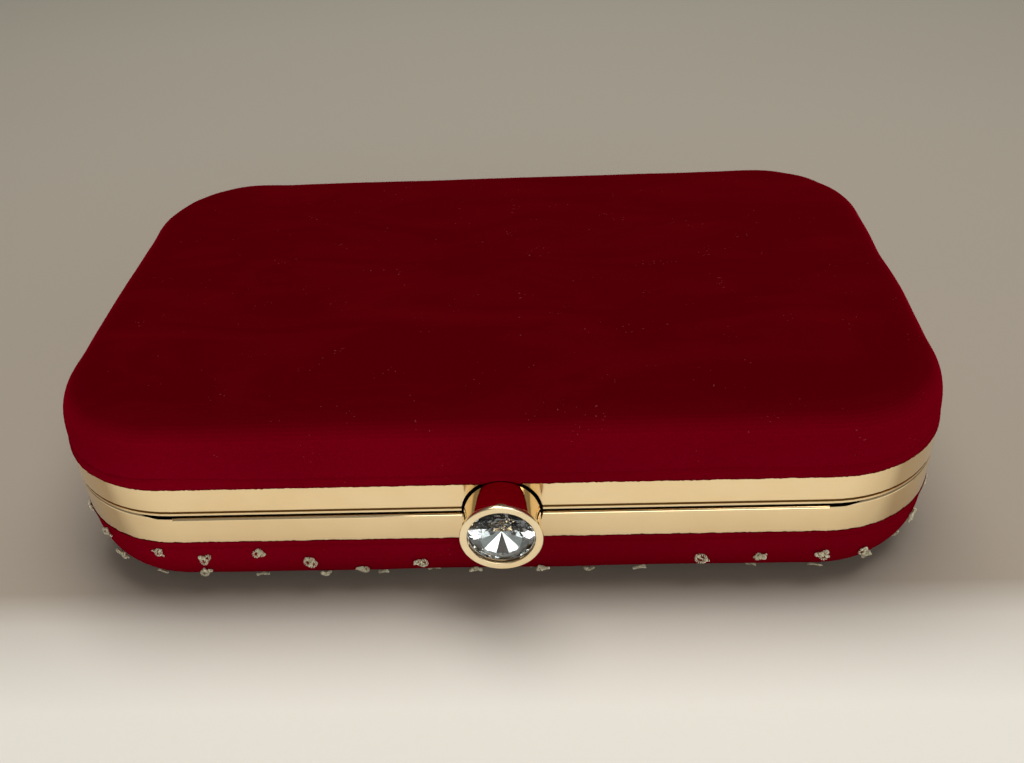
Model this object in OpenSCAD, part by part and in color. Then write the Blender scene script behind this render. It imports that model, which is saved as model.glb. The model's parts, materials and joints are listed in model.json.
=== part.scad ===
// Clutch purse: a hard-shelled, velvet-covered box clutch with a gold frame and a push-button clasp.
// It lies on its embroidered front. The plain back is up, the clasp faces -Y and the hinge is at +Y.
// Lengths are in millimetres. The origin is the centre of the bounding box, at its lowest point.
// The pieces are drawn round the centre of the seam, then moved there by seat().

/* [Case] */
// Width of the closed case across the frame
case_w = 190; // [160:1:220]
// Depth of the closed case across the frame
case_d = 118.5; // [110:0.5:140]
// Radius of the case's four corners in plan
corner_r = 27.4; // [26:0.1:32]
// Height of one half, from the seam to its flat panel
half_h = 22.3; // [21:0.1:30]
// How far in from the frame's face each panel turns flat
flat_inset = 10.2; // [9:0.1:14]

/* [Frame] */
// Height of the gold band on each half
band_h = 7.6; // [7:0.1:8]
// Thickness of the band's metal
band_t = 1.2; // [1:0.1:1.4]
// How far in the frame's rim reaches at the seam
rim_in = 4.6; // [4.5:0.1:6]
// Width of the finger gap along the front of the seam
finger_gap = 0.85; // [0.6:0.05:0.9]
// How far the finger gap runs on past each end of the straight front
gap_run = 3; // [1:0.5:6]

/* [Clasp] */
// Radius of the push button's barrel
barrel_r = 7.9; // [7.8:0.1:8.4]
// How far the button stands out from the frame
button_out = 8.4; // [8:0.1:10]
// Sideways place of the button on the front
button_x = 1.1; // [-3:0.1:3]
// Travel of the push button
press = 2.5; // [2:0.1:2.5]

/* [Hinge] */
// Length of one hinge
hinge_len = 24; // [20:1:30]
// Distance of each hinge from the middle
hinge_x = 44; // [30:1:50]
// Radius of the hinge knuckles
knuckle_r = 1.7; // [1.6:0.05:1.75]
// Angle that the back half opens to
open_angle = 90; // [80:1:92]

/* [Embroidery] */
// Distance between neighbouring wire knots on the panel
knot_pitch = 13.5; // [12:0.5:18]
// Distance between neighbouring wire knots round the edge
edge_pitch = 11.8; // [11:0.1:18]
// How far a knot strays from its even place on the panel
knot_stray = 1.8; // [0:0.1:2]
// How far a knot strays along the edge
edge_stray = 2.6; // [0:0.1:3]
// Radius of a knot's coil
knot_r = 1; // [0.7:0.05:1.1]
// Radius of a knot's bundle of wire
knot_wire = 0.55; // [0.4:0.05:0.6]

/* [Hidden] */
$fn = 64;

gold = [0.83, 0.70, 0.47];
steel = [0.72, 0.72, 0.74];
velvet = [0.36, 0.01, 0.05];
eps = 0.01;

// Small gaps: between halves at the seam, between layers, and inside a fixed or a running fit
seam_gap = 0.05;
layer_gap = 0.1;
fixed_gap = 0.02;
running_gap = 0.05;

// Layers of a half: inset of the outer wall and height of the outer panel, from the cover inwards
wall_top = 10.7;
cover_u = 0.25;
cover_t = 0.8;
tuck_u = band_t + layer_gap;
tuck_t = 0.8;
tuck_z = 5.4;
padding_t = 2.8;
shell_u = 2.3;
shell_t = 1.5;
lining_t = 0.5;
cover_low = band_h + layer_gap;
padding_top = half_h - cover_t - layer_gap;
shell_top = padding_top - padding_t - layer_gap;
lining_top = shell_top - shell_t - layer_gap;
lining_u = shell_u + shell_t + layer_gap;
rim_t = 1.2;
rim_top = finger_gap + rim_t;
shell_low = rim_top + layer_gap;

// The seam's details: a groove and a bead on the back band, a rolled lip on the front band
groove = 0.5;
bead_h = 0.55;
groove_h = 0.8;
bead_u = 0.15;
lip_r = 0.7;
gap_taper = 5;

front_y = -case_d / 2;
long = case_w - 2 * corner_r;
short = case_d - 2 * corner_r;
button_gap = 0.45;
hole_r = barrel_r + button_gap;

// Hinge: the axis lies in the seam, a little inside the rear face of the bands
axis_u = 2;
axis_y = case_d / 2 - axis_u;
leaf_t = 0.8;
leaf_h = 5;
knuckle_gap = 0.25;
knuckles = 5;
hinge_pin_r = 0.75;
bevel = open_angle / 2 + 2;
hinge_rivet_r = 0.9;
hinge_rivet_z = 3.6;
hinge_rivet_x = 8;

// Clasp, front to back: places along Y from the front face of the bands, negative outside
bezel_r = 8.45;
bezel_t = 1;
bezel_in = 6.8;
socket_r = 7.1;
girdle_r = 6.95;
girdle_at = -button_out + bezel_t + layer_gap / 2;
girdle_h = 0.5;
crown_h = 1.2;
table_r = 4.4;
pavilion_h = 2.9;
culet_r = 0.3;
foil_t = 0.2;
barrel_end = 4.05;
web_at = -2.75;
web_t = 1.5;

// Stem: its thick run slides in the bush, a spigot holds the web and a thin end carries the catch
stem_r = 2.2;
spigot_r = 1.5;
spigot_head_r = 2.6;
spigot_head_t = 0.6;
end_r = 1.75;
clip_groove_r = 1.3;
clip_r = 3.4;
clip_t = 0.6;
clip_slot = 1.1;
stem_tail = 1.2;

// Lock bracket: an upright plate, with a wing each side that lies on the front half's rim
plate_at = 6.85;
plate_t = 1.2;
plate_half = 12;
plate_low = 8;
neck_half = 6.5;
neck_high = 5.8;
tab_t = 0.7;
tab_u = 2.2;
wing_in = 9.2;
wing_out = 24;
lock_rivet_r = 0.8;
lock_rivet_x = 18;
lock_rivet_u = 3.5;
bush_r = 3.6;
flange_r = 5;
flange_t = 1;
spring_wire = 0.35;
spring_r = 3.7;
spring_turns = 4;

// Striker: a fork with two feet on the back half's rim and a window in each leg
tongue_at = 8.65;
tongue_t = 1;
fork_high = 6.5;
foot_in = 9.4;
foot_out = 16.5;
foot_t = 1;
leg_in = 4.2;
leg_out = 8.2;
leg_low = 4.8;
leg_root = 3;
arch_high = 4.4;
window_x = 6.2;
window_half = 1.3;
window_low = 3.9;
window_high = 1.3;
striker_rivet_x = 13;
striker_rivet_at = 7;

// Catch: a plate behind the striker with two wedge noses
catch_at = 10.05;
catch_t = 1.2;
catch_half = 8;
catch_low = 5;
catch_high = 3.5;
nose_half = 1;
nose_low = 3.6;
nose_high = 1.6;

// Where the seam's centre sits: the stone leads at -Y, knots at +Y, and knots touch the ground
knot_out = 2 * knot_wire + layer_gap / 2;
stone_out = button_out - bezel_t - layer_gap / 2 + crown_h;
seat_y = (stone_out + cover_u - knot_out) / 2;
seat_z = half_h + knot_out;

module seat() {
    translate([0, seat_y, seat_z]) children();
}

// Turns a back-half shape over, so that it becomes the front half's, below the seam
module turned() {
    mirror([0, 0, 1]) children();
}

// Sweeps a profile round the case. Its X is the distance in from the band's face and its Y is height.
module swept(front = true) {
    for (sx = [-1, 1], sy = [-1, 1])
        translate([sx * long / 2, sy * short / 2, 0])
            rotate([0, 0, sx > 0 ? (sy > 0 ? 0 : 270) : (sy > 0 ? 90 : 180)])
                rotate_extrude(angle = 90) translate([corner_r, 0]) mirror([1, 0]) children();
    for (side = front ? [0, 180] : [180])
        rotate([0, 0, side]) translate([-long / 2, front_y, 0]) side_run(long) children();
    for (side = [90, 270])
        rotate([0, 0, side]) translate([-short / 2, -case_w / 2, 0]) side_run(short) children();
}

// One straight run of a profile along +X, with the profile's X pointing along +Y
module side_run(run) {
    rotate([90, 0, 90]) linear_extrude(run) children();
}

// Heights and insets of a panel's rounded edge, a quarter ellipse from the wall to the flat
function edge_curve(u, top, steps = 6) = [
    for (i = [0:steps]) let (a = 90 * i / steps)
        [flat_inset - (flat_inset - u) * cos(a), wall_top + (top - wall_top) * sin(a)]
];

// Filled half case with its wall at inset u, from height low up to the flat panel at top
module dome(u, low, top) {
    swept() polygon(concat([[corner_r, low], [u, low]], edge_curve(u, top), [[corner_r, top]]));
    translate([-long / 2, -short / 2, low]) cube([long, short, top - low]);
}

// Filled straight-walled slab with its wall at inset u
module slab(u, low, high) {
    swept() polygon([[corner_r, low], [u, low], [u, high], [corner_r, high]]);
    translate([-long / 2, -short / 2, low]) cube([long, short, high - low]);
}

// A cylinder along +Y on the button's axis, starting at a distance in from the front face
module along(at, run, r, r_end = undef) {
    translate([button_x, front_y + at, 0]) rotate([-90, 0, 0])
        cylinder(h = run, r1 = r, r2 = r_end == undef ? r : r_end);
}

// Clearance for the button through the front wall
module button_hole() {
    along(-2, 7, hole_r);
}

// A box given by its lowest and highest corners
module box(low, high) {
    translate(low) cube(high - low);
}

module at_hinges() {
    for (side = [-1, 1]) translate([side * hinge_x, axis_y, 0]) children();
}

// Room for the hinges in a frame: over each hinge's knuckles, and the bevel that stops the lid
module hinge_room() {
    at_hinges() rotate([0, 90, 0])
        cylinder(h = hinge_len + 4 * knuckle_gap, r = knuckle_r + knuckle_gap, center = true);
    at_hinges() box([-hinge_len / 2 - 2 * knuckle_gap, -rim_in, -1],
                    [hinge_len / 2 + 2 * knuckle_gap, axis_u - band_t, rim_top + 1]);
    translate([-case_w / 2, axis_y, 0]) rotate([90, 0, 90]) linear_extrude(case_w)
        polygon([[0, -1], [axis_u + 1, -1], [axis_u + 1, (axis_u + 1) * tan(bevel)], [0, 0]]);
}

// Holes for the hinge rivets, or the rivets themselves, through one half's band and leaf
module hinge_rivet_set(r, start, end) {
    at_hinges() for (side = [-1, 1])
        translate([side * hinge_rivet_x, start, hinge_rivet_z]) rotate([-90, 0, 0])
            cylinder(h = end - start, r = r);
}

// One hinge leaf of each hinge: it holds the odd or the even knuckles
module hinge_leaves(odd) {
    step = hinge_len / knuckles;
    difference() {
        union() {
            at_hinges() box([-hinge_len / 2, 0, 0], [hinge_len / 2, leaf_t, leaf_h]);
            at_hinges() for (i = [0:knuckles - 1]) if (i % 2 == odd)
                translate([(i - knuckles / 2) * step, 0, 0]) rotate([0, 90, 0])
                    cylinder(h = step, r = knuckle_r);
        }
        at_hinges() for (i = [0:knuckles - 1]) if (i % 2 != odd)
            translate([(i - knuckles / 2) * step - layer_gap, 0, 0]) rotate([0, 90, 0])
                cylinder(h = step + 2 * layer_gap, r = knuckle_r + knuckle_gap);
        at_hinges() translate([-hinge_len / 2 - 1, 0, 0]) rotate([0, 90, 0])
            cylinder(h = hinge_len + 2, r = hinge_pin_r + running_gap);
        hinge_rivet_set(hinge_rivet_r + fixed_gap, -1, leaf_t + 1);
    }
}

// The parts that both halves share, drawn for the back half

module shell() {
    difference() {
        dome(shell_u, shell_low, shell_top);
        dome(shell_u + shell_t, shell_low - 1, shell_top - shell_t);
        button_hole();
    }
}

module padding() {
    difference() {
        dome(cover_u + cover_t + layer_gap, cover_low + cover_t + layer_gap, padding_top);
        dome(shell_u - layer_gap, cover_low, padding_top - padding_t);
        button_hole();
    }
}

module cover() {
    difference() {
        union() {
            dome(cover_u, cover_low, half_h);
            slab(tuck_u, tuck_z, cover_low + cover_t / 2);
        }
        dome(cover_u + cover_t, cover_low + cover_t, half_h - cover_t);
        slab(tuck_u + tuck_t, tuck_z - 1, cover_low + cover_t + 1);
        button_hole();
    }
}

module lining() {
    difference() {
        dome(lining_u, shell_low, lining_top);
        dome(lining_u + lining_t, shell_low - 1, lining_top - lining_t);
        button_hole();
    }
}

// One wire knot lying on a surface whose outward direction is -Z
module knot() {
    translate([0, 0, -knot_wire - layer_gap / 2]) rotate_extrude($fn = 24) translate([knot_r, 0])
        circle(r = knot_wire, $fn = 16);
}

// Front half: frame, shell, cover and lock

module front_frame() color(gold) difference() {
    turned() union() {
        swept(front = false) front_band_profile(seam_gap);
        translate([-long / 2, front_y, 0]) side_run(long) front_band_profile(finger_gap);
    }
    turned() gap_ends();
    turned() hinge_room();
    turned() hinge_rivet_set(hinge_rivet_r + fixed_gap, 0, axis_u + 1);
    button_hole();
    lock_rivet_set(lock_rivet_r + fixed_gap, -rim_t - 2, 0);
}

// The front band in section: a face with a rolled lip at the seam, and the rim that reaches in
module front_band_profile(low) {
    translate([lip_r, low + lip_r]) circle(r = lip_r, $fn = 32);
    translate([lip_r, finger_gap]) square([rim_in - lip_r, rim_t]);
    translate([0, low + lip_r]) square([band_t, band_h - low - lip_r]);
}

// Cuts that carry the finger gap on into the front corners, where it runs out to nothing
module gap_ends() {
    start = long / 2 - 1;
    end = long / 2 + gap_run;
    high = finger_gap - fixed_gap;
    for (side = [0, 1]) mirror([side, 0, 0])
        translate([0, front_y / 2, 0]) rotate([90, 0, 0]) linear_extrude(1 - front_y / 2)
            polygon([[start, -1], [start, high], [end, high], [end + gap_taper, 0],
                     [end + gap_taper, -1]]);
}

module front_shell() color([0.12, 0.12, 0.12]) turned() shell();
module front_padding() color([0.9, 0.88, 0.8]) turned() padding();
module front_cover() color(velvet) turned() cover();
module front_lining() color([0.55, 0.45, 0.3]) turned() lining();

// Knots scattered over the flat panel, and a ring of them round the rounded edge
module front_knots() color([0.8, 0.78, 0.6]) {
    panel_knots();
    edge_knots();
}

// Staggered rows over the flat panel, each knot strayed a little from its even place
module panel_knots() {
    row_pitch = knot_pitch * sin(60);
    rows = floor((case_d / 2 - flat_inset) / row_pitch);
    columns = ceil((case_w / 2 - flat_inset) / knot_pitch);
    strays = rands(-knot_stray, knot_stray, 2 * (2 * rows + 1) * (2 * columns + 1), 3);
    for (j = [-rows:rows], i = [-columns:columns]) {
        k = 2 * ((j + rows) * (2 * columns + 1) + i + columns);
        x = (i + (j % 2 == 0 ? 0 : 0.5)) * knot_pitch + strays[k];
        y = j * row_pitch + strays[k + 1];
        if (on_panel(abs(x), abs(y))) translate([x, y, -half_h]) knot();
    }
}

// Whether a knot's place lies on the flat panel, clear of its edges and rounded corners
function on_panel(x, y) =
    let (margin = flat_inset + 2 * (knot_r + knot_wire))
    x <= case_w / 2 - margin && y <= case_d / 2 - margin
    && (x <= long / 2 || y <= short / 2
        || norm([x - long / 2, y - short / 2]) <= corner_r - margin);

// Two rows of knots round the rounded edge, which rise and dip together. Each knot strays a little.
module edge_knots() {
    highest_turn = 0;
    lowest_turn = 78;
    middle_turn = 20;
    wave_turn = 20;
    waves = 3;
    crest = 85;
    turn_stray = 12;
    row_turn = 42;
    first = 0.3;
    round_trip = 2 * (long + short) + 2 * PI * corner_r;
    count = floor(round_trip / edge_pitch);
    strays = rands(-1, 1, 4 * count, 6085);
    for (row = [0, 1], i = [0:count - 1]) {
        k = 2 * (row * count + i);
        along_edge = (i + first) * round_trip / count + strays[k] * edge_stray;
        wave = middle_turn + wave_turn * cos(360 * waves * (along_edge - crest) / round_trip);
        turn = wave + row * row_turn + strays[k + 1] * turn_stray;
        at_edge(along_edge, max(highest_turn, min(lowest_turn, turn))) knot();
    }
}

// Puts a knot on the rounded edge, a distance along the outline from the front left corner
module at_edge(along_edge, turn, side = 0) {
    run = side % 2 == 0 ? long : short;
    depth = side % 2 == 0 ? case_d : case_w;
    arc = PI * corner_r / 2;
    inset = flat_inset - (flat_inset - cover_u) * cos(turn);
    low = -wall_top - (half_h - wall_top) * sin(turn);
    lean = atan2((half_h - wall_top) * cos(turn), (flat_inset - cover_u) * sin(turn));
    if (along_edge > run + arc) at_edge(along_edge - run - arc, turn, side + 1) children();
    else rotate([0, 0, 90 * side])
        translate([min(along_edge, run) - run / 2, corner_r - depth / 2, 0])
            rotate([0, 0, 90 * max(along_edge - run, 0) / arc])
                translate([0, inset - corner_r, low]) rotate([-lean, 0, 0]) children();
}

module front_hinge_leaves() color(gold) turned() hinge_leaves(0);

module front_hinge_rivets() color(gold) turned() hinge_rivet_set(hinge_rivet_r, 0, axis_u);

module hinge_pins() color(steel) at_hinges() rotate([0, 90, 0])
    cylinder(h = hinge_len, r = hinge_pin_r, center = true);

// Lock: a bracket on the front half's rim carries a bush, and the button's stem slides in it
module lock_bracket() color(steel) difference() {
    union() {
        box([button_x - plate_half, front_y + plate_at, -plate_low],
            [button_x + plate_half, front_y + plate_at + plate_t, tab_t - finger_gap]);
        box([button_x - neck_half, front_y + plate_at, -1],
            [button_x + neck_half, front_y + plate_at + plate_t, neck_high]);
        for (side = [-1, 1])
            box([button_x + (side < 0 ? -wing_out : wing_in), front_y + tab_u, -finger_gap],
                [button_x + (side < 0 ? -wing_in : wing_out), front_y + plate_at + plate_t,
                 tab_t - finger_gap]);
    }
    along(plate_at - 1, plate_t + 2, bush_r + fixed_gap);
    lock_rivet_set(lock_rivet_r + fixed_gap, -finger_gap - 1, 1);
}

module lock_rivet_set(r, low, high) {
    for (side = [-1, 1])
        translate([button_x + side * lock_rivet_x, front_y + lock_rivet_u, low])
            cylinder(h = high - low, r = r);
}

module lock_rivets() color(gold) lock_rivet_set(lock_rivet_r, -finger_gap - rim_t, tab_t - finger_gap);

module guide_bush() color([0.75, 0.6, 0.35]) difference() {
    union() {
        along(plate_at - flange_t - fixed_gap, flange_t, flange_r);
        along(plate_at - flange_t, tongue_at + tongue_t - plate_at + flange_t - layer_gap, bush_r);
    }
    along(plate_at - flange_t - 1, tongue_at + tongue_t - plate_at + flange_t + 2,
          stem_r + running_gap);
}

// Helical return spring between the bush's flange and the web in the barrel
module button_spring() color(steel) {
    start = web_at + web_t + layer_gap + spring_wire;
    end = plate_at - flange_t - fixed_gap - layer_gap - spring_wire;
    turn_steps = 24;
    steps = spring_turns * turn_steps;
    sides = 8;
    points = [
        for (i = [0:steps], s = [0:sides - 1])
            let (a = 360 * i / turn_steps, b = 360 * s / sides,
                 r = spring_r + spring_wire * cos(b))
            [r * cos(a), start + (end - start) * i / steps + spring_wire * sin(b), r * sin(a)]
    ];
    faces = concat(
        [[for (s = [0:sides - 1]) s]],
        [for (i = [0:steps - 1], s = [0:sides - 1])
            let (n = (s + 1) % sides)
            [i * sides + s, (i + 1) * sides + s, (i + 1) * sides + n, i * sides + n]],
        [[for (s = [sides - 1:-1:0]) steps * sides + s]]
    );
    translate([button_x, front_y, 0]) polyhedron(points, faces);
}

// Push button: barrel, bezel, stone, stem and catch

module button_barrel() color(gold) difference() {
    along(-button_out + bezel_t, button_out - bezel_t + barrel_end, barrel_r);
    along(-button_out, button_out + web_at, socket_r);
    along(web_at + web_t, barrel_end - web_at, socket_r);
    along(web_at - 1, web_t + 2, spigot_r + fixed_gap);
}

module bezel_ring() color(gold) difference() {
    along(-button_out, bezel_t - fixed_gap, bezel_r);
    along(-button_out - 1, bezel_t + 2, bezel_in);
}

// Stone: a low crown with a table, a girdle under the bezel's lip and a pointed pavilion
module crystal() color([0.85, 0.9, 0.92]) {
    along(girdle_at, girdle_h, girdle_r);
    along(girdle_at - crown_h, crown_h, table_r, bezel_in - layer_gap);
    along(girdle_at + girdle_h, pavilion_h, girdle_r, culet_r);
}

// Foil: a thin cone behind the pavilion
module crystal_foil() color([0.8, 0.8, 0.82]) difference() {
    foil_at = girdle_at + girdle_h + layer_gap;
    along(foil_at + foil_t, pavilion_h, girdle_r, culet_r);
    along(foil_at, pavilion_h, girdle_r, culet_r);
}

module plunger_stem() color(steel) difference() {
    union() {
        along(web_at - spigot_head_t, spigot_head_t - fixed_gap, spigot_head_r);
        along(web_at - spigot_head_t, spigot_head_t + web_t + 2 * fixed_gap, spigot_r);
        along(web_at + web_t + fixed_gap, catch_at - web_at - web_t - 2 * fixed_gap, stem_r);
        along(catch_at - 1, 1 + catch_t + clip_t + stem_tail, end_r);
    }
    difference() {
        along(catch_at + catch_t, clip_t + 2 * fixed_gap, stem_r + 1);
        along(catch_at, catch_t + clip_t + stem_tail, clip_groove_r);
    }
}

// Catch: its two noses pass through the striker's windows from behind
module catch_plate() color(steel) difference() {
    union() {
        box([button_x - catch_half, front_y + catch_at, -catch_low],
            [button_x + catch_half, front_y + catch_at + catch_t, catch_high]);
        for (side = [-1, 1])
            translate([button_x + side * window_x - nose_half, 0, 0])
                rotate([90, 0, 90]) linear_extrude(2 * nose_half)
                    polygon([[front_y + catch_at + eps, -nose_low], [front_y + tongue_at, -nose_low],
                             [front_y + catch_at + eps, -nose_high]]);
    }
    along(catch_at - 1, catch_t + 2, end_r + fixed_gap);
}

module retaining_clip() color(steel) difference() {
    along(catch_at + catch_t + fixed_gap, clip_t, clip_r);
    along(catch_at, catch_t + clip_t + 1, clip_groove_r + fixed_gap);
    box([button_x - clip_slot, front_y + catch_at, -clip_r - 1],
        [button_x + clip_slot, front_y + catch_at + catch_t + clip_t + 1, 0]);
}

// Back half: frame, shell, cover and striker

module back_frame() color(gold) difference() {
    union() {
        swept() back_band_profile();
        for (side = [-1, 1])
            box([button_x + (side < 0 ? -foot_out : foot_in), front_y + band_t, finger_gap],
                [button_x + (side < 0 ? -foot_in : foot_out), front_y + tongue_at + tongue_t,
                 rim_top]);
    }
    hinge_room();
    hinge_rivet_set(hinge_rivet_r + fixed_gap, 0, axis_u + 1);
    button_hole();
    striker_rivet_set(lock_rivet_r + fixed_gap, -1, 3);
}

// The back band in section: a flat face, a groove, a bead at the seam and the inward rim
module back_band_profile() {
    translate([0, bead_h + groove_h]) square([band_t, band_h - bead_h - groove_h]);
    translate([groove, bead_h - eps]) square([band_t - groove, groove_h + 2 * eps]);
    translate([bead_u, seam_gap]) square([band_t - bead_u, bead_h - seam_gap]);
    translate([groove, finger_gap]) square([rim_in - groove, rim_t]);
}

module back_shell() color([0.12, 0.12, 0.12]) shell();
module back_padding() color([0.9, 0.88, 0.8]) padding();
module back_cover() color(velvet) cover();
module back_lining() color([0.55, 0.45, 0.3]) lining();
module back_hinge_leaves() color(gold) hinge_leaves(1);
module back_hinge_rivets() color(gold) hinge_rivet_set(hinge_rivet_r, 0, axis_u);

// Striker: a fork on the back half's rim; its legs straddle the bush and hold the catch's noses
module striker() color(steel) difference() {
    union() {
        box([button_x - foot_out, front_y + tongue_at, rim_top],
            [button_x + foot_out, front_y + tongue_at + tongue_t, fork_high]);
        for (side = [-1, 1]) {
            box([button_x + (side < 0 ? -leg_out : leg_in), front_y + tongue_at, -leg_low],
                [button_x + (side < 0 ? -leg_in : leg_out), front_y + tongue_at + tongue_t, leg_root]);
            box([button_x + (side < 0 ? -foot_out : foot_in), front_y + rim_in + layer_gap, rim_top],
                [button_x + (side < 0 ? -foot_in : foot_out), front_y + tongue_at + tongue_t,
                 rim_top + foot_t]);
        }
    }
    box([button_x - leg_in, front_y + tongue_at - 1, 0],
        [button_x + leg_in, front_y + tongue_at + tongue_t + 1, arch_high]);
    for (side = [-1, 1])
        box([button_x + side * window_x - window_half, front_y + tongue_at - 1, -window_low],
            [button_x + side * window_x + window_half, front_y + tongue_at + tongue_t + 1,
             -window_high]);
    striker_rivet_set(lock_rivet_r + fixed_gap, 0, 4);
}

module striker_rivet_set(r, low, high) {
    for (side = [-1, 1])
        translate([button_x + side * striker_rivet_x, front_y + striker_rivet_at, low])
            cylinder(h = high - low, r = r);
}

module striker_rivets() color(gold) striker_rivet_set(lock_rivet_r, finger_gap, rim_top + foot_t);

seat() front_frame();
seat() front_shell();
seat() front_padding();
seat() front_cover();
seat() front_knots();
seat() front_lining();
seat() front_hinge_leaves();
seat() front_hinge_rivets();
seat() hinge_pins();
seat() lock_bracket();
seat() lock_rivets();
seat() guide_bush();
seat() button_spring();
seat() button_barrel();
seat() bezel_ring();
seat() crystal();
seat() crystal_foil();
seat() plunger_stem();
seat() catch_plate();
seat() retaining_clip();
seat() back_frame();
seat() back_shell();
seat() back_padding();
seat() back_cover();
seat() back_lining();
seat() back_hinge_leaves();
seat() back_hinge_rivets();
seat() striker();
seat() striker_rivets();
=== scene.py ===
"""Looks of the clutch purse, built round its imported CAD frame.

The purse lies on its embroidered front. Its plain velvet back is up and its clasp faces -Y.
Lengths are in metres. Insets are measured in from the outer face of the gold bands.
"""

import json
import math
import random

import bmesh
import bpy
import numpy as np
from mathutils import Matrix, Vector, noise
from mathutils.bvhtree import BVHTree


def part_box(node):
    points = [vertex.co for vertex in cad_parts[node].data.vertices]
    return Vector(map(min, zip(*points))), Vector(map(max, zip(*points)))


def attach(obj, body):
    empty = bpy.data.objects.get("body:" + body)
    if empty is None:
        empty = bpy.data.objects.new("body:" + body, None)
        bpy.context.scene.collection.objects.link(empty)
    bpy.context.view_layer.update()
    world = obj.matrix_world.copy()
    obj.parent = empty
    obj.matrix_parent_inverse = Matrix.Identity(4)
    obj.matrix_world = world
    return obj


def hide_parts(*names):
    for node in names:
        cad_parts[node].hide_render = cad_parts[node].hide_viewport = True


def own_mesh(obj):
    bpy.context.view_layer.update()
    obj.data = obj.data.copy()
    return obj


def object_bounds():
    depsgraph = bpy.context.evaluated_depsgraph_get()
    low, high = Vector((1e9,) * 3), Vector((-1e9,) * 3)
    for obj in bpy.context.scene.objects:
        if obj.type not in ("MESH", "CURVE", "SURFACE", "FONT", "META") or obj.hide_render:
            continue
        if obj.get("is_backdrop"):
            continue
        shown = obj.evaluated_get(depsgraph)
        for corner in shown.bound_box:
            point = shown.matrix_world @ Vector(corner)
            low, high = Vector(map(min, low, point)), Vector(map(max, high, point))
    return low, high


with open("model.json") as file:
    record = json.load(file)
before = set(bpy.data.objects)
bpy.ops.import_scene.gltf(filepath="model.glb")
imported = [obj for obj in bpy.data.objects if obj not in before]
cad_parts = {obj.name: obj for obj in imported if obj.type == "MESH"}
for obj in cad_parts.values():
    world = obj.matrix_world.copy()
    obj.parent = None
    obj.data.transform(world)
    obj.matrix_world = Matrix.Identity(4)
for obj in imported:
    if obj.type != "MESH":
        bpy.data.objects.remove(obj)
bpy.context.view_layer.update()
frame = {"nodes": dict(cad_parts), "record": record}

MM = 0.001

# The case, read from the frame
band_low, band_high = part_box("front_frame")
back_low, back_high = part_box("back_frame")
HALF_W = (band_high.x - band_low.x) / 2
HALF_D = (band_high.y - band_low.y) / 2
MID_Y = (band_high.y + band_low.y) / 2
SEAM = (band_high.z + back_low.z) / 2
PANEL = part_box("back_cover")[1].z - SEAM
BAND = back_high.z - SEAM
FRONT_Y = band_low.y
barrel_low, barrel_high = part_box("button_barrel")
BUTTON_X = (barrel_low.x + barrel_high.x) / 2
BARREL_R = (barrel_high.x - barrel_low.x) / 2

# Shape of the shell that the frame's boxes don't give
CORNER_R = 27.4 * MM
WALL_TOP = 10.7 * MM
FLAT_INSET = 10.2 * MM
BAND_T = 1.2 * MM

# How square the panels' rounded edge is: 1 is a quarter ellipse, and less is fuller
SHOULDER = 0.84

# Insets of the two rings that lead from the rounded edge to the grid over the flat
RING_INSET = 12.2 * MM
GRID_INSET = 15 * MM

# Steps of the panels' grid along the long sides, the short sides and each corner
LONG_STEPS = 52
SHORT_STEPS = 24
CORNER_STEPS = 16

# The cloth simulation: its length in frames, and how much larger it runs
PUFF_FRAMES = 20
PUFF_SCALE = 10

# Room round the button's barrel
VELVET_CLEARANCE = 0.25 * MM
FRINGE_CLEARANCE = 0.12 * MM
INNER_CLEARANCE = 0.7 * MM

# The camera of the photograph: its place in widths of the case from the middle of the seam
CAMERA_PLACE = Vector((0.0629, -1.1427, 0.7694))
CAMERA_YAW, CAMERA_PITCH, CAMERA_ROLL = -0.0475, 0.624, -0.0519
CAMERA_LENS = 36.78


# ---------------------------------------------------------------- mesh helpers

def new_object(name, verts, faces, smooth=True):
    mesh = bpy.data.meshes.new(name)
    mesh.from_pydata([tuple(v) for v in verts], [], faces)
    mesh.validate()
    obj = bpy.data.objects.new(name, mesh)
    bpy.context.scene.collection.objects.link(obj)
    if smooth:
        mesh.polygons.foreach_set("use_smooth", [True] * len(mesh.polygons))
    return obj


def apply_modifiers(obj):
    """Makes the evaluated mesh the object's own."""
    graph = bpy.context.evaluated_depsgraph_get()
    graph.update()
    mesh = bpy.data.meshes.new_from_object(obj.evaluated_get(graph))
    obj.modifiers.clear()
    obj.data = mesh


def thicken(obj, thickness, offset=-1):
    """Gives a skin its thickness, to the inside unless the offset is 1."""
    shell = obj.modifiers.new("thickness", "SOLIDIFY")
    shell.thickness = thickness
    shell.offset = offset


def subdivide(obj):
    """Adds one round of subdivision."""
    smooth = obj.modifiers.new("smooth", "SUBSURF")
    smooth.levels = smooth.render_levels = 1


def recalculate(obj):
    """Turns all faces outwards."""
    mesh = bmesh.new()
    mesh.from_mesh(obj.data)
    bmesh.ops.recalc_face_normals(mesh, faces=mesh.faces)
    mesh.to_mesh(obj.data)
    mesh.free()


def merged(parts):
    """Verts and faces of several (verts, faces) as one."""
    verts, faces = [], []
    for part_verts, part_faces in parts:
        base = len(verts)
        verts.extend(part_verts)
        faces.extend([tuple(base + i for i in face) for face in part_faces])
    return verts, faces


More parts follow.
